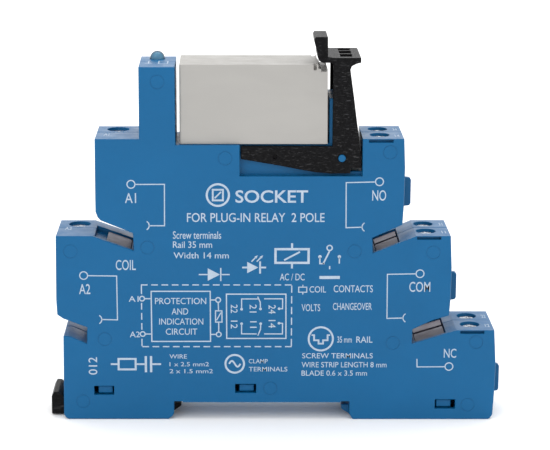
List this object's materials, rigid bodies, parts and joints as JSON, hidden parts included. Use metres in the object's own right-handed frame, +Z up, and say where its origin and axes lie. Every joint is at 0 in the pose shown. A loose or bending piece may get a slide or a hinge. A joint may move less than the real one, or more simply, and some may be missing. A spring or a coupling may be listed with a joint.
{
  "type": "plug in relay",
  "caption": "Slim DIN-rail relay socket with stepped screw terminals, a plugged-in relay, a retaining and ejecting clip, an indicator lens and a sprung rail latch.",
  "frame": {"origin": "middle of the rail seat, the flat ceiling of the rail notch, half way through the module's thickness", "axes": "+X across the rail towards the contact terminals, +Y along the rail through the module's thickness towards its back, +Z up away from the rail"},
  "size_m": [0.0912, 0.014, 0.0776],
  "materials": {
    "housing_blue": "fine moulded texture, satin",
    "black_plastic": "moulded texture, satin",
    "relay_grey": "smooth moulded, satin",
    "lens_blue": "translucent, glossy",
    "led_epoxy": "clear epoxy",
    "board_laminate": "solder mask",
    "component_beige": "lacquered",
    "component_black": "moulded epoxy",
    "strip_alloy": "stamped, satin",
    "zinc_plated_steel": "zinc plated",
    "tinned_bronze": "tinned",
    "bobbin_white": "smooth moulded",
    "enamelled_copper": "enamelled wire",
    "soft_iron": "nickel plated",
    "spring_steel": "bright"
  },
  "bodies": {
    "housing": {"housing_front_shell": "housing_blue", "housing_rear_shell": "housing_blue", "led_lens": "lens_blue", "led": "led_epoxy", "circuit_board": "board_laminate", "series_resistor": "component_beige", "freewheel_diode": "component_black", "contact_strip_a1": "strip_alloy", "contact_strip_a2": "strip_alloy", "contact_strip_11": "strip_alloy", "contact_strip_12": "strip_alloy", "contact_strip_14": "strip_alloy", "contact_strip_21": "strip_alloy", "contact_strip_22": "strip_alloy", "contact_strip_24": "strip_alloy"},
    "rail_latch": {"rail_latch": "black_plastic"},
    "retaining_clip": {"retaining_clip": "black_plastic"},
    "relay": {"relay_cover": "relay_grey", "relay_base": "black_plastic", "relay_coil_pins": "tinned_bronze", "contact_nc_posts": "tinned_bronze", "contact_no_posts": "tinned_bronze", "contact_com_pins": "tinned_bronze", "coil_bobbin": "bobbin_white", "coil_winding": "enamelled_copper", "coil_core": "soft_iron", "yoke": "soft_iron"},
    "armature": {"armature": "soft_iron", "armature_spring": "spring_steel"},
    "actuator_card": {"actuator_card": "bobbin_white"},
    "contact_blade_front": {"contact_blade_front": "tinned_bronze"},
    "contact_blade_rear": {"contact_blade_rear": "tinned_bronze"},
    "terminal_screw_14": {"terminal_screw_14": "zinc_plated_steel"},
    "wire_clamp_14": {"wire_clamp_14": "zinc_plated_steel"},
    "terminal_screw_24": {"terminal_screw_24": "zinc_plated_steel"},
    "wire_clamp_24": {"wire_clamp_24": "zinc_plated_steel"},
    "terminal_screw_11": {"terminal_screw_11": "zinc_plated_steel"},
    "wire_clamp_11": {"wire_clamp_11": "zinc_plated_steel"},
    "terminal_screw_21": {"terminal_screw_21": "zinc_plated_steel"},
    "wire_clamp_21": {"wire_clamp_21": "zinc_plated_steel"},
    "terminal_screw_12": {"terminal_screw_12": "zinc_plated_steel"},
    "wire_clamp_12": {"wire_clamp_12": "zinc_plated_steel"},
    "terminal_screw_22": {"terminal_screw_22": "zinc_plated_steel"},
    "wire_clamp_22": {"wire_clamp_22": "zinc_plated_steel"},
    "terminal_screw_a1": {"terminal_screw_a1": "zinc_plated_steel"},
    "wire_clamp_a1": {"wire_clamp_a1": "zinc_plated_steel"},
    "terminal_screw_a2": {"terminal_screw_a2": "zinc_plated_steel"},
    "wire_clamp_a2": {"wire_clamp_a2": "zinc_plated_steel"}
  },
  "joints": [
    {"name": "clip_swing", "type": "hinge", "parent": "housing", "child": "retaining_clip", "pos_m": [0.0156, 0, 0.05009], "axis": [0, 1, 0], "range_deg": [0, 9]},
    {"name": "relay_lift", "type": "slide", "parent": "housing", "child": "relay", "axis": [0, 0, 1], "range_m": [0, 0.00292]},
    {"name": "latch_pull", "type": "slide", "parent": "housing", "child": "rail_latch", "axis": [-1, 0, 0], "range_m": [0, 0.002], "stiffness_N_per_m": 500, "springref_m": -0.002},
    {"name": "armature_pull_in", "type": "hinge", "parent": "relay", "child": "armature", "pos_m": [-0.0141, 0.00005, 0.0552], "axis": [0, 1, 0], "range_deg": [0, 4], "stiffness_Nm_per_rad": 0.002, "springref_deg": -5.73},
    {"name": "card_push", "type": "slide", "parent": "relay", "child": "actuator_card", "axis": [1, 0, 0], "range_m": [0, 0.00076]},
    {"name": "blade_flex_front", "type": "hinge", "parent": "relay", "child": "contact_blade_front", "pos_m": [0.00495, -0.0037, 0.055], "axis": [0, 1, 0], "range_deg": [0, 3.9], "stiffness_Nm_per_rad": 0.002, "springref_deg": -5.73},
    {"name": "blade_flex_rear", "type": "hinge", "parent": "relay", "child": "contact_blade_rear", "pos_m": [0.00495, 0.0037, 0.055], "axis": [0, 1, 0], "range_deg": [0, 3.9], "stiffness_Nm_per_rad": 0.002, "springref_deg": -5.73},
    {"name": "screw_turn_14", "type": "hinge", "parent": "housing", "child": "terminal_screw_14", "pos_m": [0.02315, -0.00265, 0.05104], "axis": [0, 0, -1], "range_deg": [0, 1370]},
    {"name": "clamp_rise_14", "type": "slide", "parent": "housing", "child": "wire_clamp_14", "axis": [0, 0, 1], "range_m": [0, 0.0019]},
    {"name": "screw_turn_24", "type": "hinge", "parent": "housing", "child": "terminal_screw_24", "pos_m": [0.02315, 0.0035, 0.05104], "axis": [0, 0, -1], "range_deg": [0, 1370]},
    {"name": "clamp_rise_24", "type": "slide", "parent": "housing", "child": "wire_clamp_24", "axis": [0, 0, 1], "range_m": [0, 0.0019]},
    {"name": "screw_turn_11", "type": "hinge", "parent": "housing", "child": "terminal_screw_11", "pos_m": [0.0327, -0.00265, 0.0315], "axis": [0, 0, -1], "range_deg": [0, 1370]},
    {"name": "clamp_rise_11", "type": "slide", "parent": "housing", "child": "wire_clamp_11", "axis": [0, 0, 1], "range_m": [0, 0.0019]},
    {"name": "screw_turn_21", "type": "hinge", "parent": "housing", "child": "terminal_screw_21", "pos_m": [0.0327, 0.0035, 0.0315], "axis": [0, 0, -1], "range_deg": [0, 1370]},
    {"name": "clamp_rise_21", "type": "slide", "parent": "housing", "child": "wire_clamp_21", "axis": [0, 0, 1], "range_m": [0, 0.0019]},
    {"name": "screw_turn_12", "type": "hinge", "parent": "housing", "child": "terminal_screw_12", "pos_m": [0.042, -0.00265, 0.01212], "axis": [0, 0, -1], "range_deg": [0, 1370]},
    {"name": "clamp_rise_12", "type": "slide", "parent": "housing", "child": "wire_clamp_12", "axis": [0, 0, 1], "range_m": [0, 0.0019]},
    {"name": "screw_turn_22", "type": "hinge", "parent": "housing", "child": "terminal_screw_22", "pos_m": [0.042, 0.0035, 0.01212], "axis": [0, 0, -1], "range_deg": [0, 1370]},
    {"name": "clamp_rise_22", "type": "slide", "parent": "housing", "child": "wire_clamp_22", "axis": [0, 0, 1], "range_m": [0, 0.0019]},
    {"name": "screw_turn_a1", "type": "hinge", "parent": "housing", "child": "terminal_screw_a1", "pos_m": [-0.0287, 0.0035, 0.051], "axis": [0, 0, -1], "range_deg": [0, 1370]},
    {"name": "clamp_rise_a1", "type": "slide", "parent": "housing", "child": "wire_clamp_a1", "axis": [0, 0, 1], "range_m": [0, 0.0019]},
    {"name": "screw_turn_a2", "type": "hinge", "parent": "housing", "child": "terminal_screw_a2", "pos_m": [-0.03675, 0.0035, 0.03149], "axis": [0, 0, -1], "range_deg": [0, 1370]},
    {"name": "clamp_rise_a2", "type": "slide", "parent": "housing", "child": "wire_clamp_a2", "axis": [0, 0, 1], "range_m": [0, 0.0019]}
  ],
  "couplings": [
    {"joint": "relay_lift", "follows": "clip_swing", "m_per_rad": 0.0185},
    {"joint": "card_push", "follows": "armature_pull_in", "m_per_rad": 0.0108},
    {"joint": "blade_flex_front", "follows": "armature_pull_in", "ratio": 0.9643},
    {"joint": "blade_flex_rear", "follows": "armature_pull_in", "ratio": 0.9643},
    {"joint": "screw_turn_14", "follows": "clamp_rise_14", "rad_per_m": 12566},
    {"joint": "screw_turn_24", "follows": "clamp_rise_24", "rad_per_m": 12566},
    {"joint": "screw_turn_11", "follows": "clamp_rise_11", "rad_per_m": 12566},
    {"joint": "screw_turn_21", "follows": "clamp_rise_21", "rad_per_m": 12566},
    {"joint": "screw_turn_12", "follows": "clamp_rise_12", "rad_per_m": 12566},
    {"joint": "screw_turn_22", "follows": "clamp_rise_22", "rad_per_m": 12566},
    {"joint": "screw_turn_a1", "follows": "clamp_rise_a1", "rad_per_m": 12566},
    {"joint": "screw_turn_a2", "follows": "clamp_rise_a2", "rad_per_m": 12566}
  ]
}
